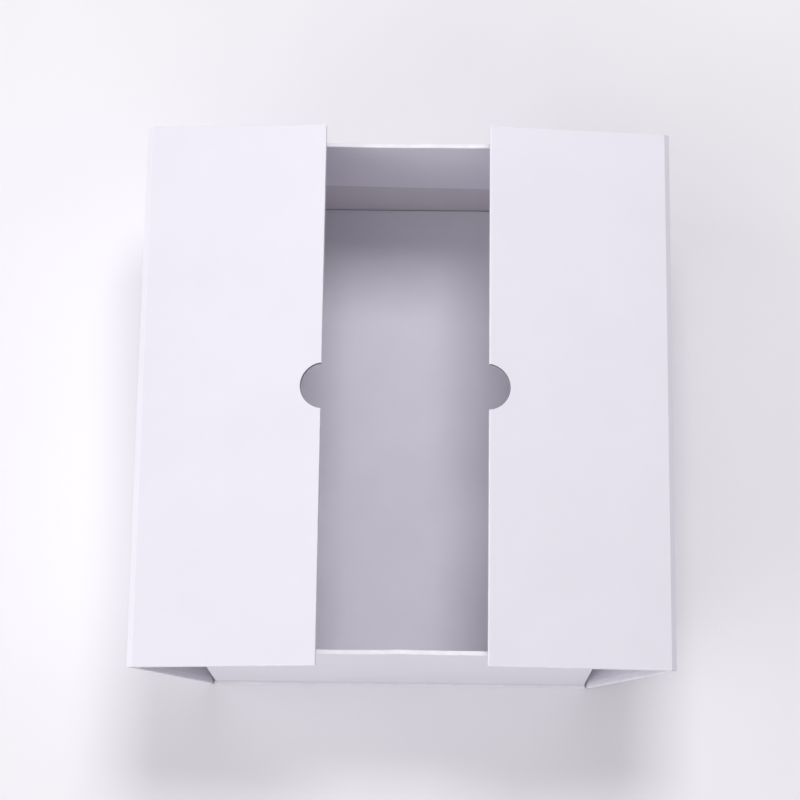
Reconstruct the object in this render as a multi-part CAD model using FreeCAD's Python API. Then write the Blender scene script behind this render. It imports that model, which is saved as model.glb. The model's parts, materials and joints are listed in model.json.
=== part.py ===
import FreeCAD, Part
import math
import os

# Gift box with two doors: an open tray glued inside a folding case.
# The case is a row of greyboard panels in one wrapping of paper. Its base is
# under the tray, a side panel leans out on the left and on the right, and a
# door is folded over the tray from the top of each side panel. A narrow strip
# of bare paper joins each side panel to its door and lets it fold.
# Millimetres. Origin: centre of the case's underside. +Z up, +Y to the back.

# Sheets
board = 2.0
paper = 0.2
floor_card = 0.8
stay_tape = 0.15

# Tray
tray_width = 200.0
tray_length = 270.4
rim_z = 110.8
tray_turn_in = 60.5
back_turn_in_slant = 9.0
floor_card_gap = 0.4
stay_leg = 20.0
glue_strip_size = (24.0, 240.0)
glue_strip_spacing = 70.0

# Case
base_half_width = 100.2
fold_x = 103.0
side_height = 112.8
strip_height = 3.4
door_reach = 92.6
case_length_low = 273.4
case_length_high = 283.2
edge_turn_in = 15.0
liner_inset = 3.0

# How far the boards stop from each crease, so that the paper can fold
side_board_start = 0.6
side_board_stop = 1.0
door_board_start = 1.8
crease_gap = 0.15

# Finger notches
notch_radius = 12.0
notch_centre_out = 1.1

# Pose at rest, in degrees: each side panel leans out from upright, and its
# strip and door turn by half as much, so that the door stays above the rim
side_lean = {"left": 16.45, "right": 18.5}
lean_share = 0.5

# Angles above level with the side panels upright
strip_angle_closed = 32.0
door_angle_closed = -0.7

# Heights in the stack under the tray
base_board_z = paper
base_top_z = paper + board
tray_bottom_z = base_top_z + 2 * paper
tray_board_z = tray_bottom_z + paper
tray_floor_z = tray_board_z + board

# Half sizes of the tray, at each layer of its walls
outer_half = (tray_width / 2, tray_length / 2)
board_half = tuple(half - paper for half in outer_half)
inner_half = tuple(half - board for half in board_half)
clear_half = tuple(half - paper for half in inner_half)
board_top_z = rim_z - paper

spare = 1.0  # how far a cutting block runs past what it cuts


def block(x0, x1, y0, y1, z0, z1):
    return Part.makeBox(x1 - x0, y1 - y0, z1 - z0, FreeCAD.Vector(x0, y0, z0))


def centred_block(half, z0, z1):
    return block(-half[0], half[0], -half[1], half[1], z0, z1)


def prism(outline, direction):
    points = [FreeCAD.Vector(*point) for point in outline]
    points.append(points[0])
    return Part.Face(Part.makePolygon(points)).extrude(FreeCAD.Vector(*direction))


def joined(first, *others):
    return first.fuse(list(others)).removeSplitter()


def save(name, shape):
    if not shape.isValid() or not shape.Solids:
        raise ValueError(f"{name} is not a valid solid")
    print(f"{name}: {len(shape.Solids)} solid, {shape.Volume:.0f} mm3")
    shape.exportStep(f"parts/{name}.step")


# ---- Base of the case ----

def base_wrap():
    """The outer paper under the base, turned in at the front and back edges.

    It runs out past the board on the left and right as a doubled tongue that
    ends in a round lip on the crease.
    """
    half_length = case_length_low / 2
    board_end = half_length - paper
    sleeve = centred_block((base_half_width, half_length), 0, base_top_z + paper)
    core = centred_block((base_half_width, board_end), base_board_z, base_top_z)
    window = centred_block((base_half_width, half_length - edge_turn_in), base_top_z, base_top_z + paper)
    wrap = sleeve.cut(core).cut(window)
    for sign in (-1, 1):
        ends = sorted((sign * base_half_width, sign * fold_x))
        tongue = block(ends[0], ends[1], -half_length, half_length, 0, 2 * paper)
        lip_start = FreeCAD.Vector(sign * fold_x, -half_length, paper)
        lip = Part.makeCylinder(paper, case_length_low, lip_start, FreeCAD.Vector(0, 1, 0))
        wrap = wrap.fuse([tongue, lip])
    return wrap.removeSplitter()


def base_board():
    return centred_block((base_half_width, case_length_low / 2 - paper), base_board_z, base_top_z)


def base_liner():
    liner_half = (base_half_width, case_length_low / 2 - edge_turn_in)
    return centred_block(liner_half, base_top_z, base_top_z + paper)


def glue_strips():
    """Three strips of adhesive that hold the tray down on the case."""
    half_width = glue_strip_size[0] / 2
    half_length = glue_strip_size[1] / 2
    strips = []
    for place in (-1, 0, 1):
        x = place * glue_strip_spacing
        strips.append(block(x - half_width, x + half_width, -half_length, half_length,
                            base_top_z + paper, tray_bottom_z))
    return Part.makeCompound(strips)


# ---- Tray ----

def corner_stay(side_sign, end_sign):
    """Angle of paper tape, pressed into the outside of one upright corner."""
    x_out, y_out = board_half
    height = board_top_z - tray_board_z
    long_leg = Part.makeBox(stay_leg, stay_tape, height)
    short_leg = Part.makeBox(stay_tape, stay_leg, height)
    long_leg.translate(FreeCAD.Vector(x_out - stay_leg, y_out - stay_tape, tray_board_z))
    short_leg.translate(FreeCAD.Vector(x_out - stay_tape, y_out - stay_leg, tray_board_z))
    stay = joined(long_leg, short_leg)
    origin = FreeCAD.Vector(0, 0, 0)
    if side_sign < 0:
        stay = stay.mirror(origin, FreeCAD.Vector(1, 0, 0))
    if end_sign < 0:
        stay = stay.mirror(origin, FreeCAD.Vector(0, 1, 0))
    return stay


def tray_boards():
    """The floor and the four walls, which stand round the floor."""
    x_out, y_out = board_half
    x_in, y_in = inner_half
    z0, z1 = tray_board_z, board_top_z
    return {
        "tray_floor_board": centred_block(inner_half, tray_board_z, tray_floor_z),
        "tray_front_board": block(-x_out, x_out, -y_out, -y_in, z0, z1),
        "tray_back_board": block(-x_out, x_out, y_in, y_out, z0, z1),
        "tray_left_board": block(-x_out, -x_in, -y_in, y_in, z0, z1),
        "tray_right_board": block(x_in, x_out, -y_in, y_in, z0, z1),
    }


def tray_wrap():
    """One sheet of paper under the tray, up its walls, over the rim and down inside.

    The edge of the turned-in paper on the back wall runs down a little to the right.
    """
    outside = centred_block(outer_half, tray_bottom_z, rim_z)
    boards = centred_block(board_half, tray_board_z, board_top_z)
    mouth = centred_block(clear_half, board_top_z, rim_z + spare)
    shell = outside.cut(boards).cut(mouth)

    edge_z = rim_z - tray_turn_in
    low_z = edge_z - back_turn_in_slant
    lining = centred_block(inner_half, low_z, board_top_z)
    lining = lining.cut(centred_block(clear_half, low_z - spare, rim_z))
    x_in, y_in = inner_half
    y_clear = clear_half[1]
    under_front_and_sides = block(-x_in, x_in, -y_in, y_clear, low_z, edge_z)
    under_back = prism([(-x_in, y_clear, low_z), (-x_in, y_clear, edge_z), (x_in, y_clear, low_z)],
                       (0, y_in - y_clear, 0))
    lining = lining.cut(under_front_and_sides).cut(under_back)
    return joined(shell, lining)


def tray_floor_card():
    half = tuple(value - floor_card_gap for value in inner_half)
    return centred_block(half, tray_floor_z, tray_floor_z + floor_card)


# ---- Panels of the case, each drawn flat ----
# A panel lies along +X from its lower or outer crease, at x = 0. Its outer
# face is up, z = 0 is the middle of the paper at the creases, and the board
# hangs below that. half_length(x) is its half length along Y.

def side_half_length(x):
    low = case_length_low / 2
    high = case_length_high / 2
    return low + (high - low) * x / side_height


def door_half_length(x):
    return case_length_high / 2


def sheet(half_length, x0, x1, inset, depth0, depth1):
    """Flat piece from x0 to x1, inset from both ends, between two depths."""
    near = half_length(x0) - inset
    far = half_length(x1) - inset
    outline = [(x0, -near, -depth1), (x1, -far, -depth1), (x1, far, -depth1), (x0, near, -depth1)]
    return prism(outline, (0, 0, depth1 - depth0))


def tongue(half_length, x0, x1):
    return sheet(half_length, x0, x1, 0, -paper, paper)


def wrapped_edges(half_length, x0, x1, window_x1):
    """Outer paper, folded round the panel's ends and turned in on its inner face."""
    sleeve = sheet(half_length, x0, x1, 0, -paper, board + paper)
    window = sheet(half_length, x0, window_x1, edge_turn_in, board, board + paper)
    return sleeve.cut(window)


def lining(half_length, x0, x1, window_x1):
    """Inner paper: flat on the board in the middle, and over the turned-in paper round it."""
    middle = sheet(half_length, x0, window_x1, edge_turn_in, board, board + paper)
    rise = sheet(half_length, x0, x1, liner_inset, board + paper, board + 2 * paper)
    well_x1 = x1 if window_x1 == x1 else window_x1 - paper
    well = sheet(half_length, x0, well_x1, edge_turn_in + paper, board + paper, board + 2 * paper)
    return joined(middle, rise.cut(well))


def side_panel():
    start = side_board_start
    stop = side_height - side_board_stop
    lip_gap = paper + crease_gap
    core = sheet(side_half_length, start, stop, paper, 0, board)
    wrap = wrapped_edges(side_half_length, start, stop, stop).cut(core)
    low_tongue = tongue(side_half_length, lip_gap, start)
    high_tongue = tongue(side_half_length, stop, side_height - lip_gap)
    return {
        "wrap": joined(wrap, low_tongue, high_tongue),
        "board": core,
        "liner": lining(side_half_length, start, stop, stop),
    }


def hinge_strip():
    """Doubled paper between two creases, with a round lip on each."""
    half = case_length_high / 2
    flat = block(0, strip_height, -half, half, -paper, paper)
    along = FreeCAD.Vector(0, 1, 0)
    lips = [Part.makeCylinder(paper, 2 * half, FreeCAD.Vector(x, -half, 0), along) for x in (0, strip_height)]
    return joined(flat, *lips)


def door_panel():
    start = door_board_start
    window_stop = door_reach - edge_turn_in
    core = sheet(door_half_length, start, door_reach - paper, paper, 0, board)
    wrap = wrapped_edges(door_half_length, start, door_reach, window_stop).cut(core)
    hinge_tongue = tongue(door_half_length, paper + crease_gap, start)
    notch_base = FreeCAD.Vector(door_reach + notch_centre_out, 0, -board - 3 * paper)
    notch = Part.makeCylinder(notch_radius, board + 5 * paper, notch_base)
    liner_stop = door_reach - liner_inset
    return {
        "wrap": joined(wrap, hinge_tongue).cut(notch),
        "board": core.cut(notch),
        "liner": lining(door_half_length, start, liner_stop, window_stop).cut(notch),
    }


# ---- Standing the panels up ----

def crease_after(crease, length, angle):
    return (crease[0] + length * math.cos(math.radians(angle)),
            crease[1] + length * math.sin(math.radians(angle)))


def set_up(flat_shape, crease, angle, side):
    """Turn a flat left-hand panel up about its crease, and mirror it for the right."""
    shape = flat_shape.copy()
    shape.rotate(FreeCAD.Vector(0, 0, 0), FreeCAD.Vector(0, 1, 0), -angle)
    shape.translate(FreeCAD.Vector(crease[0], 0, crease[1]))
    if side == "right":
        shape = shape.mirror(FreeCAD.Vector(0, 0, 0), FreeCAD.Vector(1, 0, 0))
    return shape


def save_gate(side):
    """The side panel, hinge strip and door of one half of the case."""
    lean = side_lean[side]
    side_angle = 90 + lean
    strip_angle = strip_angle_closed + lean_share * lean
    door_angle = door_angle_closed + lean_share * lean
    low_crease = (-fold_x, paper)
    side_crease = crease_after(low_crease, side_height, side_angle)
    door_crease = crease_after(side_crease, strip_height, strip_angle)
    print(f"{side} creases: {side_crease}, {door_crease}, door at {door_angle} degrees")

    for piece, shape in side_panel().items():
        save(f"{side}_side_{piece}", set_up(shape, low_crease, side_angle, side))
    save(f"{side}_hinge_strip", set_up(hinge_strip(), side_crease, strip_angle, side))
    for piece, shape in door_panel().items():
        save(f"{side}_door_{piece}", set_up(shape, door_crease, door_angle, side))


def save_base():
    save("base_wrap", base_wrap())
    save("base_board", base_board())
    save("base_liner", base_liner())
    save("tray_glue_strips", glue_strips())


def save_tray():
    boards = tray_boards()
    for end, end_sign in (("front", -1), ("back", 1)):
        for side, side_sign in (("left", -1), ("right", 1)):
            stay = corner_stay(side_sign, end_sign)
            save(f"tray_corner_stay_{end}_{side}", stay)
            for wall in (f"tray_{end}_board", f"tray_{side}_board"):
                boards[wall] = boards[wall].cut(stay)
    for name, shape in boards.items():
        save(name, shape)
    save("tray_wrap", tray_wrap())
    save("tray_floor_card", tray_floor_card())


os.makedirs("parts", exist_ok=True)
save_base()
save_tray()
save_gate("left")
save_gate("right")
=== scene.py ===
import json
import math

import bmesh
import bpy
from mathutils import Matrix, Vector, noise


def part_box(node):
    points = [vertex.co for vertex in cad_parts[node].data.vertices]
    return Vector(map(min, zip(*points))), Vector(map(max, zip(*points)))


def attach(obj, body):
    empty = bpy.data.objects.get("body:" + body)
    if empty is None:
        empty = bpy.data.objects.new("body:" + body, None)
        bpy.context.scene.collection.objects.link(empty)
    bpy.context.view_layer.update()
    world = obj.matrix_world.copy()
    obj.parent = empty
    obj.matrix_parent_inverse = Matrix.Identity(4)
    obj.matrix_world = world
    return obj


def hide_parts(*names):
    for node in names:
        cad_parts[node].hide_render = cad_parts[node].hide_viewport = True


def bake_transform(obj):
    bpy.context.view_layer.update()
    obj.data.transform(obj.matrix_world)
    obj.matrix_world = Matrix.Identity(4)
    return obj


# A gift box with two doors: a paper-wrapped greyboard tray in a folding case.
# Shapes are worked out in millimetres and scaled when each mesh is made.

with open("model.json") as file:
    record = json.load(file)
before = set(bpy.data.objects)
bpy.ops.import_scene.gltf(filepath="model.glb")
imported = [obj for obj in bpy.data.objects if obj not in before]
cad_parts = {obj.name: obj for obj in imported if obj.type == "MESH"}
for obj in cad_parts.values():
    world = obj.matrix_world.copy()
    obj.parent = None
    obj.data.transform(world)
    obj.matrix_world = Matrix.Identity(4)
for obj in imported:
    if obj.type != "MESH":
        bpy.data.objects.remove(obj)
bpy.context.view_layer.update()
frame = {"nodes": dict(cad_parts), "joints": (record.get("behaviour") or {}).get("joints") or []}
print("frame loaded:", len(frame["nodes"]), "nodes")

millimetre = 0.001
sides = ("left", "right")
jointPlace = {joint["name"]: joint["pos_m"] for joint in frame["joints"]}


# Nodes and materials

colourA, colourB, colourOut = 6, 7, 2    # the sockets of a Mix node that mixes colours


def toLinear(hexColour):
    channels = [int(hexColour[i:i + 2], 16) / 255 for i in (0, 2, 4)]
    return tuple(c / 12.92 if c <= 0.04045 else ((c + 0.055) / 1.055) ** 2.4 for c in channels) + (1.0,)


def addNode(tree, kind, settings=None, links=None, values=None):
    node = tree.nodes.new(kind)
    for key, value in (settings or {}).items():
        setattr(node, key, value)
    for key, value in (values or {}).items():
        node.inputs[key].default_value = value
    for key, source in (links or {}).items():
        tree.links.new(source, node.inputs[key])
    return node


def startMaterial(name, shaderValues):
    material = bpy.data.materials.new(name)
    material.use_nodes = True
    tree = material.node_tree
    shader = tree.nodes["Principled BSDF"]
    for key, value in shaderValues.items():
        shader.inputs[key].default_value = value
    place = addNode(tree, "ShaderNodeTexCoord")
    # patterns are drawn in millimetres
    inMillimetres = addNode(tree, "ShaderNodeMapping", {}, {"Vector": place.outputs["Object"]},
                            {"Scale": [1 / millimetre] * 3})
    return material, tree, shader, inMillimetres.outputs["Vector"]


# Laminated art paper: a smooth white sheet under a matt film. The eye gets an even,
# slightly cool white with a soft broad sheen, faint board grain telegraphing
# through, and a painted highlight along the folds, laid on in patches.
artPaperLooks = {
    "sheet": "EAE7F1",
    "mottle": "E8E5EF",
    # a lighter colour painted along the folds as a highlight
    "foldHighlightColour": "F4F2F8",
    "mottleSize": 38.0,
    "pulpSize": 0.55,      # real fibre clumps are near 0.2 mm, drawn coarser so that they show
    "boardWaveSize": 6.0,
    "roughness": (0.46, 0.60),
    "pulpHeight": 0.010,
    "waveHeight": 0.030,
}

# Uncoated lining paper: white stock with no film, so rougher and a shade duller.
liningLooks = {
    "sheet": "E5E2EC",
    "mottle": "E2DFE9",
    # the lining's folds get the same painted highlight, in a lighter colour
    "foldHighlightColour": "EFECF2",
    "mottleSize": 30.0,
    "pulpSize": 0.7,
    "boardWaveSize": 5.0,
    "roughness": (0.66, 0.80),
    "pulpHeight": 0.018,
    "waveHeight": 0.030,
}


def sheetPaper(name, looks, shaderValues):
    material, tree, shader, where = startMaterial(name, shaderValues)
    mottle = addNode(tree, "ShaderNodeTexNoise", {}, {"Vector": where},
                     {"Scale": 1 / looks["mottleSize"], "Detail": 3.0, "Roughness": 0.6})
    pulp = addNode(tree, "ShaderNodeTexNoise", {}, {"Vector": where},
                   {"Scale": 1 / looks["pulpSize"], "Detail": 4.0, "Roughness": 0.7})
    wave = addNode(tree, "ShaderNodeTexNoise", {}, {"Vector": where},
                   {"Scale": 1 / looks["boardWaveSize"], "Detail": 2.0, "Roughness": 0.5})
    tone = addNode(tree, "ShaderNodeMapRange", {}, {"Value": mottle.outputs["Fac"]},
                   {"From Min": 0.35, "From Max": 0.65})
    sheet = addNode(tree, "ShaderNodeMix", {"data_type": "RGBA"}, {"Factor": tone.outputs["Result"]},
                    {colourA: toLinear(looks["sheet"]), colourB: toLinear(looks["mottle"])})
    # a painted highlight along the folds, broken into patches
    foldHighlightAmount = addNode(tree, "ShaderNodeAttribute", {"attribute_name": "foldHighlightAmount"})
    highlightPatches = addNode(tree, "ShaderNodeMapRange", {}, {"Value": wave.outputs["Fac"]},
                      {"From Min": 0.38, "From Max": 0.62, "To Min": 0.35, "To Max": 1.0})
    highlightStrength = addNode(tree, "ShaderNodeMath", {"operation": "MULTIPLY"},
                  {0: foldHighlightAmount.outputs["Fac"], 1: highlightPatches.outputs["Result"]})
    highlighted = addNode(tree, "ShaderNodeMix", {"data_type": "RGBA"},
                   {"Factor": highlightStrength.outputs["Value"], colourA: sheet.outputs[colourOut]},
                   {colourB: toLinear(looks["foldHighlightColour"])})
    tree.links.new(highlighted.outputs[colourOut], shader.inputs["Base Color"])
    low, high = looks["roughness"]
    rough = addNode(tree, "ShaderNodeMapRange", {}, {"Value": pulp.outputs["Fac"]},
                    {"From Min": 0.3, "From Max": 0.7, "To Min": low, "To Max": high})
    tree.links.new(rough.outputs["Result"], shader.inputs["Roughness"])
    soft = addNode(tree, "ShaderNodeBump", {}, {"Height": wave.outputs["Fac"]},
                   {"Strength": 0.5, "Distance": looks["waveHeight"] * millimetre})
    fine = addNode(tree, "ShaderNodeBump", {},
                   {"Height": pulp.outputs["Fac"], "Normal": soft.outputs["Normal"]},
                   {"Strength": 0.6, "Distance": looks["pulpHeight"] * millimetre})
    tree.links.new(fine.outputs["Normal"], shader.inputs["Normal"])
    return material


# Greyboard: pressed waste paper, so a dull grey with pale and dark fibres, and
# plies that show as fine lines where it is cut. The tray boards are lined with
# white paper on their faces, which shows below the wrap's turned-in edge.
greyboardLooks = {
    "pulp": "8A8789",
    "darkPulp": "6F6C6F",
    "fleck": "B9B5B0",
    "linedFace": "DAD6DC",
    "linedMottle": "D3CFD6",
    "plySize": 0.5,
    "bandSize": 0.314,     # between two bands of the wave node at scale 1
    "fibreSize": 1.1,
    "fleckSize": 2.6,
    "roughness": 0.9,
    "fibreHeight": 0.05,
}


def greyboard(name, boardTilt=0.0, linedAxis=None):
    looks = greyboardLooks
    material, tree, shader, where = startMaterial(name, {"Roughness": looks["roughness"], "IOR": 1.45,
                                                         "Specular IOR Level": 0.25})
    flat = addNode(tree, "ShaderNodeMapping", {}, {"Vector": where}, {"Rotation": (0, boardTilt, 0)})
    plies = addNode(tree, "ShaderNodeTexWave", {"wave_type": "BANDS", "bands_direction": "Z"},
                    {"Vector": flat.outputs["Vector"]},
                    {"Scale": looks["bandSize"] / looks["plySize"], "Distortion": 1.5, "Detail": 2.0,
                     "Detail Scale": 0.6})
    fibres = addNode(tree, "ShaderNodeTexNoise", {}, {"Vector": flat.outputs["Vector"]},
                     {"Scale": 1 / looks["fibreSize"], "Detail": 5.0, "Roughness": 0.75})
    flecks = addNode(tree, "ShaderNodeTexVoronoi", {"feature": "F1"}, {"Vector": flat.outputs["Vector"]},
                     {"Scale": 1 / looks["fleckSize"]})
    fleckMask = addNode(tree, "ShaderNodeMapRange", {}, {"Value": flecks.outputs["Distance"]},
                        {"From Min": 0.08, "From Max": 0.16, "To Min": 0.8, "To Max": 0.0})
    shade = addNode(tree, "ShaderNodeMath", {"operation": "MULTIPLY"},
                    {0: plies.outputs["Fac"], 1: fibres.outputs["Fac"]})
    pulp = addNode(tree, "ShaderNodeMix", {"data_type": "RGBA"}, {"Factor": shade.outputs["Value"]},
                   {colourA: toLinear(looks["pulp"]), colourB: toLinear(looks["darkPulp"])})
    flecked = addNode(tree, "ShaderNodeMix", {"data_type": "RGBA"},
                      {"Factor": fleckMask.outputs["Result"], colourA: pulp.outputs[colourOut]},
                      {colourB: toLinear(looks["fleck"])})
    colour = flecked.outputs[colourOut]
    if linedAxis:
        place = addNode(tree, "ShaderNodeTexCoord")
        facing = addNode(tree, "ShaderNodeSeparateXYZ", {}, {"Vector": place.outputs["Normal"]})
        across = addNode(tree, "ShaderNodeMath", {"operation": "ABSOLUTE"}, {0: facing.outputs[linedAxis]})
        lined = addNode(tree, "ShaderNodeMath", {"operation": "GREATER_THAN"}, {0: across.outputs["Value"]},
                        {1: 0.7})
        paper = addNode(tree, "ShaderNodeMix", {"data_type": "RGBA"}, {"Factor": fibres.outputs["Fac"]},
                        {colourA: toLinear(looks["linedFace"]), colourB: toLinear(looks["linedMottle"])})
        face = addNode(tree, "ShaderNodeMix", {"data_type": "RGBA"},
                       {"Factor": lined.outputs["Value"], colourA: colour, colourB: paper.outputs[colourOut]})
        colour = face.outputs[colourOut]
    tree.links.new(colour, shader.inputs["Base Color"])
    bump = addNode(tree, "ShaderNodeBump", {}, {"Height": fibres.outputs["Fac"]},
                   {"Strength": 0.5, "Distance": looks["fibreHeight"] * millimetre})
    tree.links.new(bump.outputs["Normal"], shader.inputs["Normal"])
    return material


# Gummed kraft tape: bleached paper tape over the tray's corners, with long fibres
# running up the tape and a faint stain where the gum was wet.
gummedTapeLooks = {
    "pale": "C9BA9F",
    "dark": "AC9B7E",
    "shader": {"IOR": 1.45, "Specular IOR Level": 0.3},
    "stretch": (3.0, 3.0, 0.25),
    "streaks": {"Scale": 0.8, "Detail": 4.0, "Roughness": 0.7},
    "roughness": (0.6, 0.85),
    "streakHeight": 0.03,
}

# Dried animal glue: brushed on, so streaky, a little glossy and amber where it is thick.
driedGlueLooks = {
    "pale": "E4DCC4",
    "dark": "CDBE96",
    "shader": {"IOR": 1.5},
    "stretch": (1.0, 0.06, 1.0),
    "streaks": {"Scale": 0.9, "Detail": 3.0, "Roughness": 0.6},
    "roughness": (0.25, 0.5),
    "streakHeight": 0.05,
}


def streakedFinish(name, looks):
    material, tree, shader, where = startMaterial(name, looks["shader"])
    drawn = addNode(tree, "ShaderNodeMapping", {}, {"Vector": where}, {"Scale": looks["stretch"]})
    streaks = addNode(tree, "ShaderNodeTexNoise", {}, {"Vector": drawn.outputs["Vector"]}, looks["streaks"])
    colour = addNode(tree, "ShaderNodeMix", {"data_type": "RGBA"}, {"Factor": streaks.outputs["Fac"]},
                     {colourA: toLinear(looks["pale"]), colourB: toLinear(looks["dark"])})
    tree.links.new(colour.outputs[colourOut], shader.inputs["Base Color"])
    low, high = looks["roughness"]
    rough = addNode(tree, "ShaderNodeMapRange", {}, {"Value": streaks.outputs["Fac"]},
                    {"To Min": low, "To Max": high})
    tree.links.new(rough.outputs["Result"], shader.inputs["Roughness"])
    bump = addNode(tree, "ShaderNodeBump", {}, {"Height": streaks.outputs["Fac"]},
                   {"Strength": 0.6, "Distance": looks["streakHeight"] * millimetre})
    tree.links.new(bump.outputs["Normal"], shader.inputs["Normal"])
    return material


wrappingPaper = sheetPaper("mattLaminatedArtPaper", artPaperLooks, {"IOR": 1.47, "Specular IOR Level": 0.42})
liningPaper = sheetPaper("uncoatedLiningPaper", liningLooks, {"IOR": 1.45, "Specular IOR Level": 0.25})
print("papers ready")


# Meshes

weldDistance = 0.003    # points nearer than this become one
sliverLength = 0.002    # and edges shorter than this are taken out
tiny = 1e-4             # and shorter lengths count as nothing
quarterArc = [math.radians(22.5 * k) for k in range(5)]    # the steps of every folded edge

# How strong the painted highlight is along each kind of fold, from none to 1
foldHighlight = {
    "crease": 0.35,
    "edgeStart": 0.5,
    "edge": 1.0,
    "edgeBelow": 0.7,
    "trayFoot": 0.6,
    "trayRim": 1.0,
}


def newShell():
    return {"points": [], "faces": [], "foldHighlightAmounts": []}


def addPoint(shell, point, foldHighlightAmount=0.0):
    shell["points"].append(point)
    shell["foldHighlightAmounts"].append(foldHighlightAmount)
    return len(shell["points"]) - 1


def addQuads(shell, grid, flip=False):
    for lower, upper in zip(grid, grid[1:]):
        for i in range(len(lower) - 1):
            corners = [lower[i], lower[i + 1], upper[i + 1], upper[i]]
            if None in corners:
                continue
            shell["faces"].append(corners[::-1] if flip else corners)


def applyModifiers(piece):
    evaluated = piece.evaluated_get(bpy.context.evaluated_depsgraph_get())
    made = bpy.data.meshes.new_from_object(evaluated)
    piece.modifiers.clear()
    piece.data = made
    made.name = piece.name
    return piece


def thicken(piece, thickness):    # inwards from the drawn face
    solidify = piece.modifiers.new("thickness", "SOLIDIFY")
    solidify.thickness = thickness * millimetre
    solidify.offset = -1.0
    applyModifiers(piece)


def makePiece(name, shell, material, thickness, sharpAngle=35, mirrored=False):
    points = [Vector((-p[0] if mirrored else p[0], p[1], p[2])) * millimetre for p in shell["points"]]
    faces = [face[::-1] if mirrored else face for face in shell["faces"]]
    mesh = bpy.data.meshes.new(name)
    mesh.from_pydata(points, [], faces)
    # each point's share of the painted fold highlight, read by the papers' shader
    attribute = mesh.attributes.new("foldHighlightAmount", "FLOAT", "POINT")
    attribute.data.foreach_set("value", shell["foldHighlightAmounts"])
    joined = bmesh.new()
    joined.from_mesh(mesh)
    bmesh.ops.remove_doubles(joined, verts=joined.verts, dist=weldDistance * millimetre)
    bmesh.ops.dissolve_degenerate(joined, edges=joined.edges, dist=sliverLength * millimetre)
    joined.to_mesh(mesh)
    joined.free()
    mesh.materials.append(material)
    piece = bpy.data.objects.new(name, mesh)
    bpy.context.scene.collection.objects.link(piece)
    thicken(piece, thickness)
    piece.data.shade_smooth()
    piece.data.set_sharp_from_angle(angle=math.radians(sharpAngle))
    return piece


# The case's section. It runs from the base out to the low crease, up the side
# panel, over the strip and along the door. Depth counts inwards from the
# middle of the doubled paper, which is the line that the creases are on.
caseSizes = {
    "paper": 0.2,
    "drawnPaper": 0.16,        # a little under the real sheet, to stay clear of the board
    "board": 2.0,
    "foldRadius": 0.45,
    "turnIn": 15.0,
    "linerInset": 3.0,
    "baseHalfWidth": 100.2,
    "sideBoard": (0.6, 111.8),
    "sideJoin": 112.2,         # where the side's paper meets the strip's
    "baseJoin": 1.6,           # how far inside the low crease it meets the base's
    "doorBoardStart": 1.8,
    "doorReach": 92.6,
    "notchRadius": 12.0,
    "notchCentreOut": 1.1,
    "doorShare": 0.5,
    "doorShutAngle": -0.7,
    "bend": 0.5,               # how far each side of a crease the paper bends
    "creaseRows": (0.9, 0.3, 0.4),    # rows beside a crease: far, near on the outside, near inside
    "linerSlope": (0.3, 0.1),  # where the liner climbs onto the turned-in paper, before and past its edge
    "rowGap": 0.2,             # rows of points each side of the turned-in paper's edge
    "endGap": 0.3,             # the last row before a sheet's end
}
wrapDepth = -caseSizes["paper"]
wrapThrough = caseSizes["board"] + 2 * caseSizes["paper"]
baseHalfLength = (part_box("base_wrap")[1].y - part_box("base_wrap")[0].y) / 2 / millimetre
doorHalfLength = (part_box("left_door_wrap")[1].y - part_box("left_door_wrap")[0].y) / 2 / millimetre

# How far each panel bows inwards, in millimetres: a side panel across its
# height, and a door at the middle of its inner edge.
panelBows = {
    "left": {"side": 0.25, "door": -0.3},
    "right": {"side": 0.2, "door": -0.25},
}

# How far the cut panels' corners stray from square, along their length, in
# millimetres: at the outer crease, then at the door's inner edge.
panelStray = {
    "left": {"back": (1.1, -1.4), "front": (-0.9, -0.6)},
    "right": {"back": (-0.3, -1.4), "front": (0.7, -0.1)},
}


def caseSection(side):
    # each panel's crease, its angle there, and its length, drawn as the left half
    creases = []
    for joint in ("side_fold", "strip_fold", "door_swing"):
        x, _, z = jointPlace[f"{side}_{joint}"]
        creases.append((-abs(x) / millimetre, z / millimetre))
    low, mid, high = creases
    sideAngle = math.atan2(mid[1] - low[1], mid[0] - low[0])
    stripAngle = math.atan2(high[1] - mid[1], high[0] - mid[0])
    lean = sideAngle - math.pi / 2
    doorAngle = math.radians(caseSizes["doorShutAngle"]) + caseSizes["doorShare"] * lean
    return {
        "base": {"crease": low, "angle": math.pi},
        "side": {"crease": low, "angle": sideAngle, "length": math.dist(low, mid)},
        "strip": {"crease": mid, "angle": stripAngle, "length": math.dist(mid, high)},
        "door": {"crease": high, "angle": doorAngle, "length": caseSizes["doorReach"]},
    }


sections = {side: caseSection(side) for side in sides}


def shareAcross(side, panel, u):
    return min(1, max(0, u / sections[side][panel]["length"]))


def halfLengthAt(side, panel, u):
    if panel == "base":
        return baseHalfLength
    if panel == "side":
        return baseHalfLength + (doorHalfLength - baseHalfLength) * shareAcross(side, panel, u)
    return doorHalfLength


def bowAt(side, panel, u, y):
    if panel not in ("side", "door"):
        return 0.0
    bow = panelBows[side][panel]
    across = shareAcross(side, panel, u)
    ends = y / doorHalfLength
    if panel == "side":
        return bow * math.sin(math.pi * across) * (1 - 0.5 * ends * ends)
    return bow * across * across * (1 - ends * ends)


def strayAt(side, panel, u, y):
    if panel == "base":
        return 0.0
    outer, inner = panelStray[side]["back" if y > 0 else "front"]
    across = shareAcross(side, panel, u)
    ends = (y / doorHalfLength) ** 2
    if panel == "side":
        return outer * across * ends
    if panel == "strip":
        return outer * ends
    return (outer + (inner - outer) * across) * ends


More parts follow.
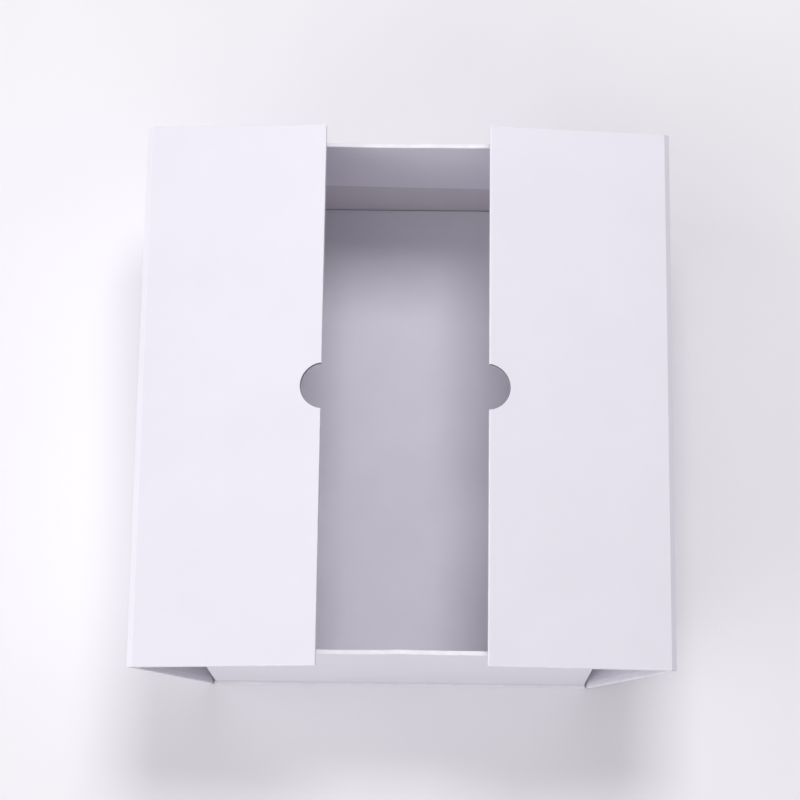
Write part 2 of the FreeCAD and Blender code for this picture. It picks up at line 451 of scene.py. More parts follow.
def caseRow(side, panel, u, depth, angle=None, lift=0.0, inset=0.0, skirted=False):
    # a line of points along a panel, u across it from its crease
    section = sections[side][panel]
    half = halfLengthAt(side, panel, u)
    return {"side": side, "panel": panel, "crease": section["crease"],
            "angle": section["angle"] if angle is None else angle,
            "u": u, "depth": depth, "lift": lift, "half": half, "skirted": skirted,
            "reach": half - inset - (caseSizes["foldRadius"] if skirted else 0)}


def casePoint(row, u, y, depth):
    depth += bowAt(row["side"], row["panel"], u, y)
    y += strayAt(row["side"], row["panel"], u, y)
    c, s = math.cos(row["angle"]), math.sin(row["angle"])
    return (row["crease"][0] + u * c + depth * s, y, row["crease"][1] + u * s - depth * c)


def smoothStep(value, low, high):
    t = min(1, max(0, (value - low) / (high - low)))
    return t * t * (3 - 2 * t)


def linerLift(row, u, y):
    # depth that the liner gains where it passes over the turned-in paper
    before, past = caseSizes["linerSlope"]
    endsAt = row["half"] - caseSizes["turnIn"]
    edgeAt = caseSizes["doorReach"] - caseSizes["turnIn"]
    overEnds = smoothStep(abs(y), endsAt - before, endsAt + past)
    overEdge = 0.0
    if row["panel"] == "door":
        overEdge = smoothStep(u, edgeAt - before, edgeAt + past)
    return row["lift"] * caseSizes["paper"] * max(overEnds, overEdge)


def notchEdge(y, edge):
    # how far along the door a sheet goes at y, where the finger notch cuts it
    centre = caseSizes["doorReach"] + caseSizes["notchCentreOut"]
    radius = caseSizes["notchRadius"]
    if abs(y) >= radius:
        return edge
    return min(edge, centre - math.sqrt(radius * radius - y * y))


def notchHalf(edge):
    rise = caseSizes["doorReach"] + caseSizes["notchCentreOut"] - edge
    return math.sqrt(caseSizes["notchRadius"] ** 2 - rise * rise)


def caseColumns(reach, half, notch=0.0, steps=14, notchSteps=14):
    # places along the length, as shares of the sheet's reach, finer at the notch and near the ends
    radius, gap = caseSizes["notchRadius"], caseSizes["rowGap"]
    places = []
    if notch:
        last = math.asin(notch / radius)
        places += [radius * math.sin(last * k / notchSteps) for k in range(notchSteps + 1)]
    else:
        places.append(0.0)
    turned = half - caseSizes["turnIn"]
    start = places[-1]
    places += [start + (turned - 2 * gap - start) * k / steps for k in range(1, steps + 1)]
    places += [turned - gap, turned + gap]
    if reach > turned + 1:
        places += [turned + (reach - turned) * share for share in (0.3, 0.6)]
        places += [reach - caseSizes["endGap"], reach]
    places = sorted(set(round(place, 4) for place in places if place <= reach + tiny))
    shares = [place / reach for place in places]
    return [-share for share in reversed(shares) if share > 0] + shares


def addCaseSheet(shell, rows, columns, edge=None, flip=False, skirt=False):
    # rows of points across the panels, and the turned-in edges if it has a skirt;
    # edge is how far a door's sheet goes, where the notch cuts into it
    blendFrom = caseSizes["doorReach"] - caseSizes["turnIn"]
    grid = []
    for row in rows:
        line = []
        for share in columns:
            y = share * row["reach"]
            u = row["u"]
            if edge and row["panel"] == "door" and u > blendFrom:
                u = blendFrom + (u - blendFrom) * (notchEdge(y, edge) - blendFrom) / (edge - blendFrom)
            depth = row["depth"] + linerLift(row, u, y)
            # the crease row gets part of the painted highlight
            foldHighlightAmount = foldHighlight["crease"] if row["u"] == 0 else 0.0
            line.append(addPoint(shell, casePoint(row, u, y, depth), foldHighlightAmount))
        grid.append(line)
    addQuads(shell, grid, not flip)
    if skirt:
        addSkirt(shell, rows, columns, edge, flip)


def skirtProfile():
    # steps of a folded edge: over the edge, down it, and under. Each is how far out,
    # how far down, the share of the turned-in paper, and how strong the fold's painted highlight is
    radius = caseSizes["foldRadius"]
    steps = []
    for angle in quarterArc:
        highlightStrength = foldHighlight["edge"] if angle else foldHighlight["edgeStart"]
        steps.append((radius * math.sin(angle), radius * (1 - math.cos(angle)), 0.0, highlightStrength))
    for angle in quarterArc:
        drop = wrapThrough - radius + radius * math.sin(angle)
        steps.append((radius * math.cos(angle), drop, 0.0, foldHighlight["edgeBelow"]))
    for share in (0.1, 0.55, 1.0):
        steps.append((0.0, wrapThrough, share, 0.0))
    return steps


def addSkirt(shell, rows, columns, edge, flip):
    turned = caseSizes["turnIn"]
    profile = skirtProfile()
    folded = [row for row in rows if row["skirted"]]
    last = folded[-1]
    path = []    # row, u, y, outward direction, width of the turned-in paper, cut by the notch

    def endPath(sign, order):
        for row in order:
            width = min(turned, last["u"] - row["u"]) if edge else turned
            path.append((row, row["u"], sign * row["reach"], (0, sign), width, False))

    endPath(-1, folded)
    if edge:
        for angle in quarterArc[1:-1]:
            path.append((last, last["u"], -last["reach"], (math.sin(angle), -math.cos(angle)), 0.0, False))
        for share in columns:
            y = share * last["reach"]
            end = notchEdge(y, edge)
            cut = end < edge - tiny
            width = min(turned, last["reach"] - abs(y))
            if cut:
                width = end - (edge - turned)
            path.append((last, end, y, (1, 0), width, cut))
        for angle in quarterArc[1:-1]:
            path.append((last, last["u"], last["reach"], (math.cos(angle), math.sin(angle)), 0.0, False))
        endPath(1, folded[::-1])
        sheetLines = [path]
    else:
        middle = len(path)
        endPath(1, folded[::-1])
        sheetLines = [path[:middle], path[middle:]]
    for line in sheetLines:
        strip = []
        for row, u, y, outward, width, cut in line:
            across = []
            for out, drop, share, foldHighlightAmount in profile:
                if cut and drop < wrapThrough - tiny:
                    across.append(None)
                    continue
                step = out - share * width
                where = casePoint(row, u + outward[0] * step, y + outward[1] * step, wrapDepth + drop)
                across.append(addPoint(shell, where, foldHighlightAmount))
            strip.append(across)
        addQuads(shell, strip, flip)


def spread(low, high, count):
    return [low + (high - low) * k / count for k in range(count + 1)]


def creaseRows(side, first, second, depth, inset=0.0):
    # rows round a crease: an arc on the outside, one mitred row on the inside
    before, after = sections[side][first]["angle"], sections[side][second]["angle"]
    if depth < 0:
        turns = spread(before, after, 4)
        return [caseRow(side, second, 0, depth, angle=angle, inset=inset) for angle in turns]
    mitred = depth / math.cos((before - after) / 2)
    return [caseRow(side, second, 0, mitred, angle=(before + after) / 2, inset=inset)]


def makeSheet(name, rows, columns, material, mirrored=False, **shape):
    shell = newShell()
    addCaseSheet(shell, rows, columns, **shape)
    return makePiece(name, shell, material, caseSizes["drawnPaper"], mirrored=mirrored)


wrapColumns = caseColumns(doorHalfLength - caseSizes["foldRadius"], doorHalfLength)
linerColumns = caseColumns(doorHalfLength - caseSizes["linerInset"], doorHalfLength)


# A side panel: its board, the wrap turned in round it, and its liner. The rows
# close to the board's edges step the paper onto it and off it.
def makeSidePanel(side):
    mirrored = side == "right"
    sizes = caseSizes
    far, near, nearInside = sizes["creaseRows"]
    paper, board, inset = sizes["paper"], sizes["board"], sizes["linerInset"]
    boardLow, boardHigh = sizes["sideBoard"]
    boardRows = spread(boardLow, boardHigh, 12)
    rows = [caseRow(side, "base", -u, wrapDepth) for u in (sizes["baseJoin"], far, near)]
    rows += creaseRows(side, "base", "side", wrapDepth)
    rows += [caseRow(side, "side", u, wrapDepth) for u in (near, boardLow - 0.1)]
    rows += [caseRow(side, "side", u, wrapDepth, skirted=True) for u in boardRows]
    rows += [caseRow(side, "side", u, wrapDepth) for u in (boardHigh + 0.1, sizes["sideJoin"])]
    sideWrap = makeSheet(f"{side}SideWrap", rows, wrapColumns, wrappingPaper, mirrored, skirt=True)

    rows = [caseRow(side, "base", -u, paper, inset=inset) for u in (sizes["baseJoin"], far, nearInside)]
    rows += creaseRows(side, "base", "side", paper, inset)
    rows.append(caseRow(side, "side", nearInside, paper, inset=inset))
    rows += [caseRow(side, "side", u, board + paper, lift=1, inset=inset) for u in boardRows]
    rows += [caseRow(side, "side", u, paper, inset=inset) for u in (boardHigh + 0.2, sizes["sideJoin"])]
    sideLiner = makeSheet(f"{side}SideLiner", rows, linerColumns, liningPaper, mirrored, flip=True)

    shell = newShell()
    addCaseSheet(shell, [caseRow(side, "side", u, 0, inset=paper) for u in boardRows], wrapColumns)
    sideBoard = makePiece(f"{side}SideBoard", shell, boardFinish[side + "Side"], board, mirrored=mirrored)

    for piece, node in ((sideWrap, "side_wrap"), (sideLiner, "side_liner")):
        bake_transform(piece)
        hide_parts(f"{side}_{node}")
    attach(sideBoard, f"{side}_side")
    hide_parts(f"{side}_side_board")


# The hinge strip: no board, only the outer and the inner paper together
def makeHingeStrip(side):
    far, near, nearInside = caseSizes["creaseRows"]
    paper, inset, join = caseSizes["paper"], caseSizes["linerInset"], caseSizes["sideJoin"]
    halfStrip = sections[side]["strip"]["length"] / 2
    shell = newShell()
    rows = [caseRow(side, "side", u, wrapDepth) for u in (join, join + 0.3)]
    rows += creaseRows(side, "side", "strip", wrapDepth)
    rows += [caseRow(side, "strip", u, wrapDepth) for u in (near, far, halfStrip)]
    addCaseSheet(shell, rows, wrapColumns)
    rows = [caseRow(side, "side", u, paper, inset=inset) for u in (join, join + 0.2)]
    rows += creaseRows(side, "side", "strip", paper, inset)
    rows += [caseRow(side, "strip", u, paper, inset=inset) for u in (nearInside, far, halfStrip)]
    addCaseSheet(shell, rows, linerColumns, flip=True)
    strip = makePiece(f"{side}HingeStrip", shell, wrappingPaper, caseSizes["drawnPaper"],
                      mirrored=side == "right")
    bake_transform(strip)
    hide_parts(f"{side}_hinge_strip")


# A door: as the side panel, but turned in on three edges and cut by the finger
# notch. Its rows are closer where the paper is turned in.
def makeDoor(side):
    mirrored = side == "right"
    sizes = caseSizes
    far, near, nearInside = sizes["creaseRows"]
    paper, board, inset = sizes["paper"], sizes["board"], sizes["linerInset"]
    stripLength = sections[side]["strip"]["length"]
    start = sizes["doorBoardStart"]
    turned = sizes["doorReach"] - sizes["turnIn"]
    edge = sizes["doorReach"] - sizes["foldRadius"]
    columns = caseColumns(doorHalfLength - sizes["foldRadius"], doorHalfLength, notchHalf(edge))
    rows = [caseRow(side, "strip", u, wrapDepth)
            for u in (stripLength / 2, stripLength - far, stripLength - near)]
    rows += creaseRows(side, "strip", "door", wrapDepth)
    rows += [caseRow(side, "door", u, wrapDepth) for u in (near, 1.0, start - 0.15)]
    stations = [start, start + 0.4] + spread(start + 6, turned, 8)
    stations += spread(turned + 2, edge - 0.3, 6) + [edge]
    rows += [caseRow(side, "door", u, wrapDepth, skirted=True) for u in stations]
    doorWrap = makeSheet(f"{side}DoorWrap", rows, columns, wrappingPaper, mirrored, edge=edge, skirt=True)

    edge = sizes["doorReach"] - inset
    columns = caseColumns(doorHalfLength - inset, doorHalfLength, notchHalf(edge))
    rows = [caseRow(side, "strip", u, paper, inset=inset)
            for u in (stripLength / 2, stripLength - far, stripLength - nearInside)]
    rows += creaseRows(side, "strip", "door", paper, inset)
    rows += [caseRow(side, "door", u, paper, inset=inset) for u in (nearInside, 1.0, start - 0.25)]
    stations = [start - 0.05, start + 0.3] + spread(start + 6, turned - 0.35, 8)
    stations += [turned, turned + 0.15] + spread(turned + 1.5, edge, 6)
    rows += [caseRow(side, "door", u, board + paper, lift=1, inset=inset) for u in stations]
    doorLiner = makeSheet(f"{side}DoorLiner", rows, columns, liningPaper, mirrored, edge=edge, flip=True)

    edge = sizes["doorReach"] - paper
    columns = caseColumns(doorHalfLength - paper, doorHalfLength, notchHalf(edge))
    stations = spread(start, turned, 9) + spread(turned + 2, edge, 7)
    shell = newShell()
    addCaseSheet(shell, [caseRow(side, "door", u, 0, inset=paper) for u in stations], columns, edge=edge)
    doorBoard = makePiece(f"{side}DoorBoard", shell, boardFinish[side + "Door"], board, mirrored=mirrored)

    for piece, node in ((doorWrap, "door_wrap"), (doorLiner, "door_liner")):
        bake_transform(piece)
        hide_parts(f"{side}_{node}")
    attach(doorBoard, f"{side}_door")
    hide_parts(f"{side}_door_board")


boardFinish = {}    # the plies of each board lie in its panel
for side in sides:
    turnSign = 1 if side == "left" else -1
    for panel in ("side", "door"):
        tilt = turnSign * sections[side][panel]["angle"]
        finishName = side.capitalize() + panel.capitalize()
        boardFinish[side + panel.capitalize()] = greyboard(f"greyboard{finishName}", tilt)
for side in sides:
    makeSidePanel(side)
    makeHingeStrip(side)
    makeDoor(side)
    doorAngle = math.degrees(sections[side]["door"]["angle"])
    print(f"{side} half of the case made, door at {doorAngle:.2f} degrees")


# The base of the case, under the tray. The same section, drawn flat: its wrap
# is turned in at the front and back, and runs on to meet the side panels' paper.
def baseRow(u, depth, skirted=False, inset=0.0, lift=0.0):
    row = caseRow("left", "base", u, depth, skirted=skirted, inset=inset, lift=lift)
    row["crease"] = (0.0, row["crease"][1])
    return row


def makeBase():
    sizes = caseSizes
    half, paper = sizes["baseHalfWidth"], sizes["paper"]
    creaseX, _ = sections["left"]["base"]["crease"]
    join = -creaseX - sizes["baseJoin"]
    boardRows = spread(-half, half, 16)
    columns = caseColumns(baseHalfLength - sizes["foldRadius"], baseHalfLength)
    rows = [baseRow(-join, wrapDepth), baseRow(-half - 0.2, wrapDepth)]
    rows += [baseRow(u, wrapDepth, skirted=True) for u in boardRows]
    rows += [baseRow(half + 0.2, wrapDepth), baseRow(join, wrapDepth)]
    wrap = makeSheet("baseWrap", rows, columns, wrappingPaper, skirt=True)

    inset = sizes["turnIn"] + 0.1
    columns = caseColumns(baseHalfLength - inset, baseHalfLength)
    rows = [baseRow(-join, paper, inset=inset), baseRow(-half - 0.2, paper, inset=inset)]
    rows += [baseRow(u, sizes["board"] + paper, inset=inset) for u in boardRows]
    rows += [baseRow(half + 0.2, paper, inset=inset), baseRow(join, paper, inset=inset)]
    liner = makeSheet("baseLiner", rows, columns, liningPaper, flip=True)
    for piece, node, slot in ((wrap, "base_wrap", "wrapping_paper"), (liner, "base_liner", "lining_paper")):
        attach(piece, "base")
        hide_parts(node)


makeBase()
print("base made")


# The tray. One sheet of paper goes under the floor, up the walls, over the rim
# and down inside. Its walls bow in a little at the rim.
traySizes = {
    "cornerRadius": 0.5,
    "insideRadius": 0.2,
    "rimRadius": 0.45,
    "footRadius": 0.4,
    "wall": 2.4,
    "turnIn": 60.5,
    "backSlant": 9.0,       # how much lower the back's turned-in edge is at one end
    "slantRise": 20.0,      # how far above that edge the paper follows the slant
    "bowIn": {"back": 0.8, "front": 0.3, "left": 0.35, "right": 0.35},
    "bowFrom": 8.0,         # the height that the walls bow from
    "bowCurve": 1.4,
    "wallReach": 3.2,       # what lies this near the outside moves with the wall
    "rimWave": 0.12,
    "waveScale": 0.045,
    "rimScale": 0.06,
    "kink": 0.35,           # a dent in the front rim
    "kinkPlace": 1.0,
    "kinkWidth": 3.0,
    "stayRoom": 0.16,       # the corner tape lies in this much of the boards' outside
}
trayLow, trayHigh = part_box("tray_wrap")
trayHalf = (trayHigh.x / millimetre, trayHigh.y / millimetre)
trayFloorZ = trayLow.z / millimetre
rimZ = trayHigh.z / millimetre


def trayWarp(point):
    sizes = traySizes
    x, y, z = point
    rise = max(0, (z - sizes["bowFrom"]) / (rimZ - sizes["bowFrom"])) ** sizes["bowCurve"]
    bow = sizes["bowIn"]
    alongX = 1 - min(1, abs(x) / trayHalf[0]) ** 2
    alongY = 1 - min(1, abs(y) / trayHalf[1]) ** 2
    if abs(y) > trayHalf[1] - sizes["wallReach"]:
        y -= math.copysign(bow["back" if y > 0 else "front"] * rise * alongX, y)
        sway = noise.noise(Vector((x * sizes["waveScale"], math.copysign(3, y), 0.5)))
        y += sizes["rimWave"] * sway * rise * 2
        dip = noise.noise(Vector((x * sizes["rimScale"], math.copysign(7, y), 1.5))) - 0.5
        z += sizes["rimWave"] * rise * dip
        if y < 0:
            dent = math.exp(-((x - sizes["kinkPlace"]) / sizes["kinkWidth"]) ** 2) * rise ** 6
            y += sizes["kink"] * dent
            z -= 0.5 * sizes["kink"] * dent
    if abs(x) > trayHalf[0] - sizes["wallReach"]:
        x -= math.copysign(bow["left" if x < 0 else "right"] * rise * alongY, x)
    return (x, y, z)


def roundedLoop(offset, steps=28, cornerSteps=4, crowding=0.35):
    # a rectangle with round corners, with as many points at every offset from the tray's
    # outside. The points of each straight run crowd a little towards its ends
    radius = max(traySizes["insideRadius"], traySizes["cornerRadius"] + offset)
    centres = [(signX * (trayHalf[0] + offset - radius), signY * (trayHalf[1] + offset - radius))
               for signX, signY in ((1, 1), (-1, 1), (-1, -1), (1, -1))]
    loop = []
    for corner, (centreX, centreY) in enumerate(centres):
        for k in range(cornerSteps + 1):
            angle = math.radians(90 * (corner + k / cornerSteps))
            loop.append((centreX + radius * math.cos(angle), centreY + radius * math.sin(angle)))
        nextX, nextY = centres[(corner + 1) % len(centres)]
        first = loop[-1]
        last = (nextX + radius * math.cos(angle), nextY + radius * math.sin(angle))
        for k in range(1, steps):
            eased = 0.5 - 0.5 * math.cos(math.pi * k / steps)
            t = crowding * eased + (1 - crowding) * k / steps
            loop.append((first[0] + (last[0] - first[0]) * t, first[1] + (last[1] - first[1]) * t))
    return loop


def traySection():
    # offset, height and painted fold highlight of each loop, from under the floor, over the rim, to the
    # turned-in edge
    foot, rim, wall = traySizes["footRadius"], traySizes["rimRadius"], traySizes["wall"]
    loops = [(-20, trayFloorZ, 0.0), (-foot - 0.4, trayFloorZ, 0.0)]
    for angle in quarterArc:
        height = trayFloorZ + foot * (1 - math.cos(angle))
        loops.append((-foot + foot * math.sin(angle), height, foldHighlight["trayFoot"]))
    loops += [(0, z, 0.0) for z in spread(trayFloorZ + foot + 0.4, rimZ - rim - 0.3, 9)]
    # the rim's fold gets the full painted highlight
    highlightStrength = foldHighlight["trayRim"]
    for angle in quarterArc:
        loops.append((-rim + rim * math.cos(angle), rimZ - rim + rim * math.sin(angle), highlightStrength))
    for angle in quarterArc:
        loops.append((-wall + rim - rim * math.sin(angle), rimZ - rim + rim * math.cos(angle), highlightStrength))
    loops += [(-wall, z, 0.0) for z in spread(rimZ - rim - 0.3, rimZ - traySizes["turnIn"], 7)]
    return loops


def makeTrayWrap():
    shell = newShell()
    grid = []
    low = rimZ - traySizes["turnIn"]
    slantRise = traySizes["slantRise"]
    backInside = trayHalf[1] - traySizes["wall"]
    for offset, z, foldHighlightAmount in traySection():
        line = []
        for x, y in roundedLoop(offset):
            height = z
            if offset == -traySizes["wall"] and z < low + slantRise:
                slant = traySizes["backSlant"] * (0.5 + 0.5 * x / trayHalf[0])
                slant *= smoothStep(y, backInside - 30, backInside - 1)
                height -= slant * (1 - (z - low) / slantRise)
            line.append(addPoint(shell, trayWarp((x, y, height)), foldHighlightAmount))
        grid.append(line + line[:1])
    addQuads(shell, grid)
    shell["faces"].append(grid[0][:-1][::-1])
    wrap = makePiece("trayWrap", shell, wrappingPaper, caseSizes["drawnPaper"])
    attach(wrap, "base")
    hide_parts("tray_wrap")


def makeTrayWalls():    # bowed with the wrap that covers them
    stayRoom = traySizes["stayRoom"]
    for wall in ("front", "back", "left", "right"):
        low, high = (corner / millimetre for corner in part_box(f"tray_{wall}_board"))
        shell = newShell()
        grid = []
        for z in spread(low.z, high.z, 10):
            if wall in ("front", "back"):
                y = low.y + stayRoom if wall == "front" else high.y - stayRoom
                line = [trayWarp((x, y, z)) for x in spread(low.x, high.x, 30)]
            else:
                x = low.x + stayRoom if wall == "left" else high.x - stayRoom
                line = [trayWarp((x, y, z)) for y in spread(low.y, high.y, 30)]
            grid.append([addPoint(shell, point) for point in line])
        addQuads(shell, grid, flip=wall in ("back", "left"))
        lined = "Y" if wall in ("front", "back") else "X"
        finish = greyboard(f"linedGreyboard{wall.capitalize()}", linedAxis=lined)
        thickness = caseSizes["board"] - stayRoom - 0.02
        board = makePiece(f"tray{wall.capitalize()}Board", shell, finish, thickness)
        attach(board, "base")
        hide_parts(f"tray_{wall}_board")


cardLooks = {"dip": 0.15, "waveScale": 0.02, "underside": 0.1}


def makeFloorCard():    # the lined card in the bottom, not quite flat
    low, high = (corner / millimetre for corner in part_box("tray_floor_card"))
    shell = newShell()
    grid = []
    for y in spread(low.y, high.y, 24):
        line = []
        for x in spread(low.x, high.x, 18):
            where = Vector((x * cardLooks["waveScale"], y * cardLooks["waveScale"], 4.0))
            dip = cardLooks["dip"] * (noise.noise(where) - 0.4)
            line.append(addPoint(shell, (x, y, high.z + min(0, dip))))
        grid.append(line)
    addQuads(shell, grid)
    thickness = high.z - low.z - cardLooks["underside"]
    card = makePiece("trayFloorCard", shell, liningPaper, thickness, sharpAngle=50)
    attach(card, "base")
    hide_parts("tray_floor_card")


makeTrayWrap()
makeTrayWalls()
makeFloorCard()
print("tray made")


# What repeats under the wrap, made with geometry nodes: the tape over the
# tray's corners, and the strips of glue under its floor.
def startTree(name, sizes):
    tree = bpy.data.node_groups.new(name, "GeometryNodeTree")
    tree.interface.new_socket("Geometry", in_out="INPUT", socket_type="NodeSocketGeometry")
    for label, value in sizes.items():
        socket = tree.interface.new_socket(label, in_out="INPUT", socket_type="NodeSocketFloat")
        socket.default_value = value
    tree.interface.new_socket("Geometry", in_out="OUTPUT", socket_type="NodeSocketGeometry")
    return tree, addNode(tree, "NodeGroupInput"), addNode(tree, "NodeGroupOutput")


def finishTree(tree, placed, made, material):
    # sizes are in millimetres up to here
    real = addNode(tree, "GeometryNodeRealizeInstances", {}, {0: placed.outputs[0]})
    metres = addNode(tree, "GeometryNodeTransform", {}, {"Geometry": real.outputs[0]},
                     {"Scale": [millimetre] * 3})
    finished = addNode(tree, "GeometryNodeSetMaterial", {}, {"Geometry": metres.outputs[0]},
                       {"Material": material})
    tree.links.new(finished.outputs[0], made.inputs[0])
    return tree


def pieceFromTree(name, tree, sizes):
    piece = bpy.data.objects.new(name, bpy.data.meshes.new(name))
    bpy.context.scene.collection.objects.link(piece)
    modifier = piece.modifiers.new("maker", "NODES")
    modifier.node_group = tree
    for item in tree.interface.items_tree:
        if item.in_out == "INPUT" and item.name in sizes:
            modifier[item.identifier] = sizes[item.name]
    piece.update_tag()
    bpy.context.view_layer.update()
    return applyModifiers(piece)


cornerLow, cornerHigh = (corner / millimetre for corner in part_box("tray_corner_stay_back_right"))
tapeSkin = 0.01    # how far the tape is drawn inside its space
tapeThickness = 0.12
tapeSizes = {
    "Tape Width": cornerHigh.x - cornerLow.x,
    "Tape Height": cornerHigh.z - cornerLow.z - 0.4,
    "Half X": cornerHigh.x - tapeSkin,
    "Half Y": cornerHigh.y - tapeSkin,
    "Middle Z": (cornerLow.z + cornerHigh.z) / 2,
    "Ragged": 0.35,    # how far the torn ends of the tape wander
}


def cornerTapeTree():
    tree, given, made = startTree("cornerTape", tapeSizes)
    width = addNode(tree, "ShaderNodeMath", {"operation": "MULTIPLY"}, {0: given.outputs["Tape Width"]},
                    {1: 2.0})
    tape = addNode(tree, "GeometryNodeMeshGrid", {},
                   {"Size X": width.outputs[0], "Size Y": given.outputs["Tape Height"]},
                   {"Vertices X": 41, "Vertices Y": 45})
    where = addNode(tree, "GeometryNodeInputPosition")
    flat = addNode(tree, "ShaderNodeSeparateXYZ", {}, {0: where.outputs[0]})
    # the tape is folded down its middle: one half lies along X, the other along Y
    alongX = addNode(tree, "ShaderNodeMath", {"operation": "MINIMUM"}, {0: flat.outputs["X"]}, {1: 0.0})
    reach = addNode(tree, "ShaderNodeMath", {"operation": "MAXIMUM"}, {0: flat.outputs["X"]}, {1: 0.0})
    alongY = addNode(tree, "ShaderNodeMath", {"operation": "MULTIPLY"}, {0: reach.outputs[0]}, {1: -1.0})
    ragged = addNode(tree, "ShaderNodeTexNoise", {}, {"Vector": where.outputs[0]},
                     {"Scale": 0.7, "Detail": 2.0})
    centred = addNode(tree, "ShaderNodeMath", {"operation": "SUBTRACT"}, {0: ragged.outputs[0]}, {1: 0.5})
    wander = addNode(tree, "ShaderNodeMath", {"operation": "MULTIPLY"},
                     {0: centred.outputs[0], 1: given.outputs["Ragged"]})
    upright = addNode(tree, "ShaderNodeMath", {"operation": "ADD"},
                      {0: flat.outputs["Y"], 1: wander.outputs[0]})
    folded = addNode(tree, "ShaderNodeCombineXYZ", {},
                     {0: alongX.outputs[0], 1: alongY.outputs[0], 2: upright.outputs[0]})
    angle = addNode(tree, "GeometryNodeSetPosition", {},
                    {"Geometry": tape.outputs["Mesh"], "Position": folded.outputs[0]})
    spanX = addNode(tree, "ShaderNodeMath", {"operation": "MULTIPLY"}, {0: given.outputs["Half X"]}, {1: 2.0})
    spanY = addNode(tree, "ShaderNodeMath", {"operation": "MULTIPLY"}, {0: given.outputs["Half Y"]}, {1: 2.0})
    corners = addNode(tree, "GeometryNodeMeshGrid", {},
                      {"Size X": spanX.outputs[0], "Size Y": spanY.outputs[0]},
                      {"Vertices X": 2, "Vertices Y": 2})
    lift = addNode(tree, "ShaderNodeCombineXYZ", {}, {2: given.outputs["Middle Z"]})
    raised = addNode(tree, "GeometryNodeSetPosition", {},
                     {"Geometry": corners.outputs["Mesh"], "Offset": lift.outputs[0]})
    # each corner turns the tape by a quarter turn more than the last
    bearing = addNode(tree, "ShaderNodeMath", {"operation": "ARCTAN2"},
                      {0: flat.outputs["Y"], 1: flat.outputs["X"]})
    turns = addNode(tree, "ShaderNodeMath", {"operation": "DIVIDE"}, {0: bearing.outputs[0]},
                    {1: math.pi / 2})
    whole = addNode(tree, "ShaderNodeMath", {"operation": "FLOOR"}, {0: turns.outputs[0]})
    quarter = addNode(tree, "ShaderNodeMath", {"operation": "MULTIPLY"}, {0: whole.outputs[0]},
                      {1: math.pi / 2})
    turn = addNode(tree, "ShaderNodeCombineXYZ", {}, {2: quarter.outputs[0]})
    placed = addNode(tree, "GeometryNodeInstanceOnPoints", {},
                     {"Points": raised.outputs[0], "Instance": angle.outputs[0], "Rotation": turn.outputs[0]})
    return finishTree(tree, placed, made, streakedFinish("gummedKraftTape", gummedTapeLooks))


stays = pieceFromTree("cornerTape", cornerTapeTree(), tapeSizes)
for vertex in stays.data.vertices:    # the tape follows the walls it holds
    vertex.co = Vector(trayWarp(vertex.co / millimetre)) * millimetre
thicken(stays, tapeThickness)
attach(stays, "base")
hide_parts(*(f"tray_corner_stay_{end}_{side}" for end in ("front", "back") for side in sides))

glueLow, glueHigh = (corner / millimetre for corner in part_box("tray_glue_strips"))
stripWidth = 24.0
brushRoom = 1.0    # the strips are drawn this much smaller, since their brushed edges wander
glueSizes = {
    "Strip Width": stripWidth - brushRoom,
    "Strip Length": glueHigh.y - glueLow.y - brushRoom,
    "Strip Thickness": glueHigh.z - glueLow.z - 0.04,
    "Spacing": (glueHigh.x - glueLow.x - stripWidth) / 2,
    "Middle Z": (glueLow.z + glueHigh.z) / 2,
    "Wander": 1.2,    # how far the brushed edges wander
}


def glueStripTree():
    tree, given, made = startTree("glueStrips", glueSizes)
    size = addNode(tree, "ShaderNodeCombineXYZ", {},
                   {0: given.outputs["Strip Width"], 1: given.outputs["Strip Length"],
                    2: given.outputs["Strip Thickness"]})
    strip = addNode(tree, "GeometryNodeMeshCube", {}, {"Size": size.outputs[0]},
                    {"Vertices X": 9, "Vertices Y": 61, "Vertices Z": 2})
    where = addNode(tree, "GeometryNodeInputPosition")
    brushed = addNode(tree, "ShaderNodeTexNoise", {}, {"Vector": where.outputs[0]},
                      {"Scale": 0.12, "Detail": 2.0})
    centred = addNode(tree, "ShaderNodeVectorMath", {"operation": "SUBTRACT"},
                      {0: brushed.outputs["Color"]}, {1: (0.5, 0.5, 0.5)})
    reach = addNode(tree, "ShaderNodeCombineXYZ", {},
                    {0: given.outputs["Wander"], 1: given.outputs["Wander"]})
    offset = addNode(tree, "ShaderNodeVectorMath", {"operation": "MULTIPLY"},
                     {0: centred.outputs[0], 1: reach.outputs[0]})
    uneven = addNode(tree, "GeometryNodeSetPosition", {},
                     {"Geometry": strip.outputs["Mesh"], "Offset": offset.outputs[0]})
    back = addNode(tree, "ShaderNodeMath", {"operation": "MULTIPLY"}, {0: given.outputs["Spacing"]},
                   {1: -1.0})
    first = addNode(tree, "ShaderNodeCombineXYZ", {}, {0: back.outputs[0], 2: given.outputs["Middle Z"]})
    step = addNode(tree, "ShaderNodeCombineXYZ", {}, {0: given.outputs["Spacing"]})
    line = addNode(tree, "GeometryNodeMeshLine", {"mode": "OFFSET"},
                   {"Start Location": first.outputs[0], "Offset": step.outputs[0]}, {"Count": 3})
    placed = addNode(tree, "GeometryNodeInstanceOnPoints", {},
                     {"Points": line.outputs[0], "Instance": uneven.outputs[0]})
    return finishTree(tree, placed, made, streakedFinish("driedGlue", driedGlueLooks))


glue = pieceFromTree("glueStrips", glueStripTree(), glueSizes)
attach(glue, "base")
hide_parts("tray_glue_strips")
print("corner tape and glue made")

# The flat boards under the tray are right as they are, and get their finish.
bareBoard = greyboard("bareGreyboard")
for name in ("base_board", "tray_floor_board"):
    node = frame["nodes"][name]
    node.data.materials.clear()
    node.data.materials.append(bareBoard)


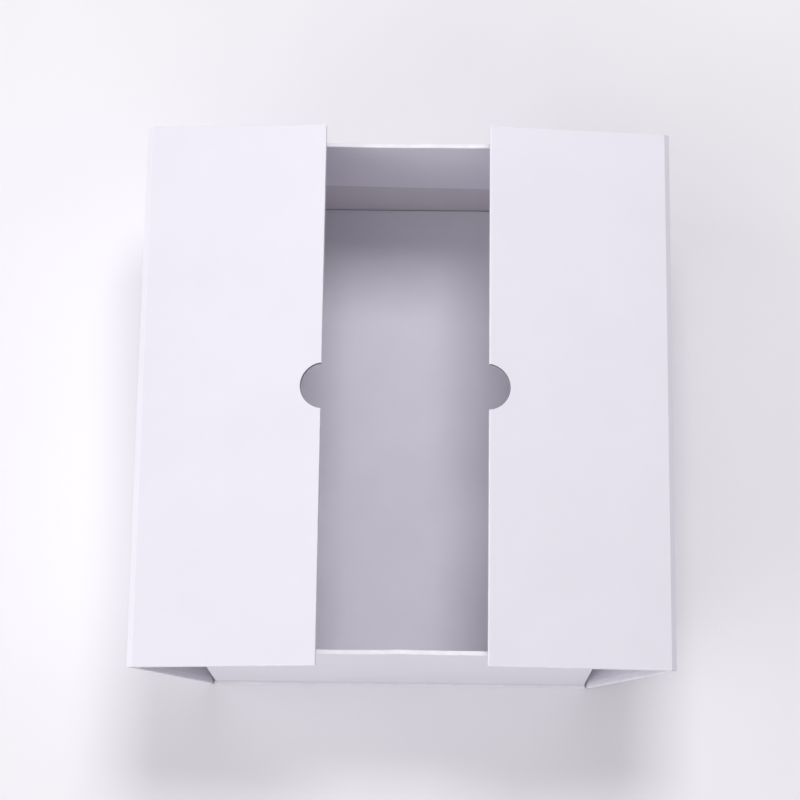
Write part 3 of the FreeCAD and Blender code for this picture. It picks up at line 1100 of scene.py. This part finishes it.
# The studio
studioLooks = {
    "floor": "F7F5F7",
    "floorCloud": "F0EEF3",
    "floorHalf": 4.0,
    "sky": "F6F5FA",
    "skyStrength": 0.342,
    "lampTarget": (0.0, 0.0, 0.05),
    "cameraPlace": (0.0127, -0.2970, 1.2883),
    "cameraTurn": (13.974, 2.601, -1.914),    # tip up, turn, and roll, in degrees
    "cameraLens": 106.914,
    "sensorWidth": 36.0,
}

studioLamps = {    # place, width in metres, power in watts
    "keyBehind": ((0.12, 0.70, 1.60), 0.6, 13.2),
    "overhead": ((-0.4, -0.4, 1.7), 1.0, 1.8),
    "leftWindow": ((-2.6, 0.0, 0.93), 1.5, 18.0),
    "frontLeft": ((-1.6, -1.45, 1.45), 1.45, 13.5),
    "front": ((0.0, -2.2, 1.3), 1.5, 9.0),
}


def studioPaper():
    # a plain paper backdrop, with the faint clouding of seamless paper
    material, tree, shader, where = startMaterial("studioPaper", {"Roughness": 0.85,
                                                                  "Specular IOR Level": 0.2})
    cloud = addNode(tree, "ShaderNodeTexNoise", {}, {"Vector": where}, {"Scale": 0.006, "Detail": 2.0})
    colour = addNode(tree, "ShaderNodeMix", {"data_type": "RGBA"}, {"Factor": cloud.outputs["Fac"]},
                     {colourA: toLinear(studioLooks["floor"]), colourB: toLinear(studioLooks["floorCloud"])})
    tree.links.new(colour.outputs[colourOut], shader.inputs["Base Color"])
    return material


scene = bpy.context.scene
half = studioLooks["floorHalf"]
floorMesh = bpy.data.meshes.new("studioFloor")
floorMesh.from_pydata([(-half, -half, 0), (half, -half, 0), (half, half, 0), (-half, half, 0)], [],
                      [(0, 1, 2, 3)])
floorMesh.materials.append(studioPaper())
studioFloor = bpy.data.objects.new("studioFloor", floorMesh)
scene.collection.objects.link(studioFloor)

scene.view_settings.view_transform = "Standard"
world = bpy.data.worlds.new("softRoom")
world.use_nodes = True
scene.world = world
sky = world.node_tree.nodes["Background"]
sky.inputs["Color"].default_value = toLinear(studioLooks["sky"])
sky.inputs["Strength"].default_value = studioLooks["skyStrength"]

for name, (place, width, power) in studioLamps.items():
    lampData = bpy.data.lights.new(name, "AREA")
    lampData.shape = "SQUARE"
    lampData.size = width
    lampData.energy = power
    lamp = bpy.data.objects.new(name, lampData)
    lamp.location = place
    aim = Vector(studioLooks["lampTarget"]) - Vector(place)
    lamp.rotation_euler = aim.to_track_quat("-Z", "Y").to_euler()
    scene.collection.objects.link(lamp)

tip, turn, roll = (math.radians(angle) for angle in studioLooks["cameraTurn"])
cameraData = bpy.data.cameras.new("camera")
cameraData.lens = studioLooks["cameraLens"]
cameraData.sensor_width = studioLooks["sensorWidth"]
camera = bpy.data.objects.new("camera", cameraData)
camera.matrix_world = (Matrix.Translation(studioLooks["cameraPlace"]) @ Matrix.Rotation(turn, 4, "Z")
                       @ Matrix.Rotation(tip, 4, "X") @ Matrix.Rotation(roll, 4, "Z"))
scene.collection.objects.link(camera)
scene.camera = camera
print("floor, light and camera ready")
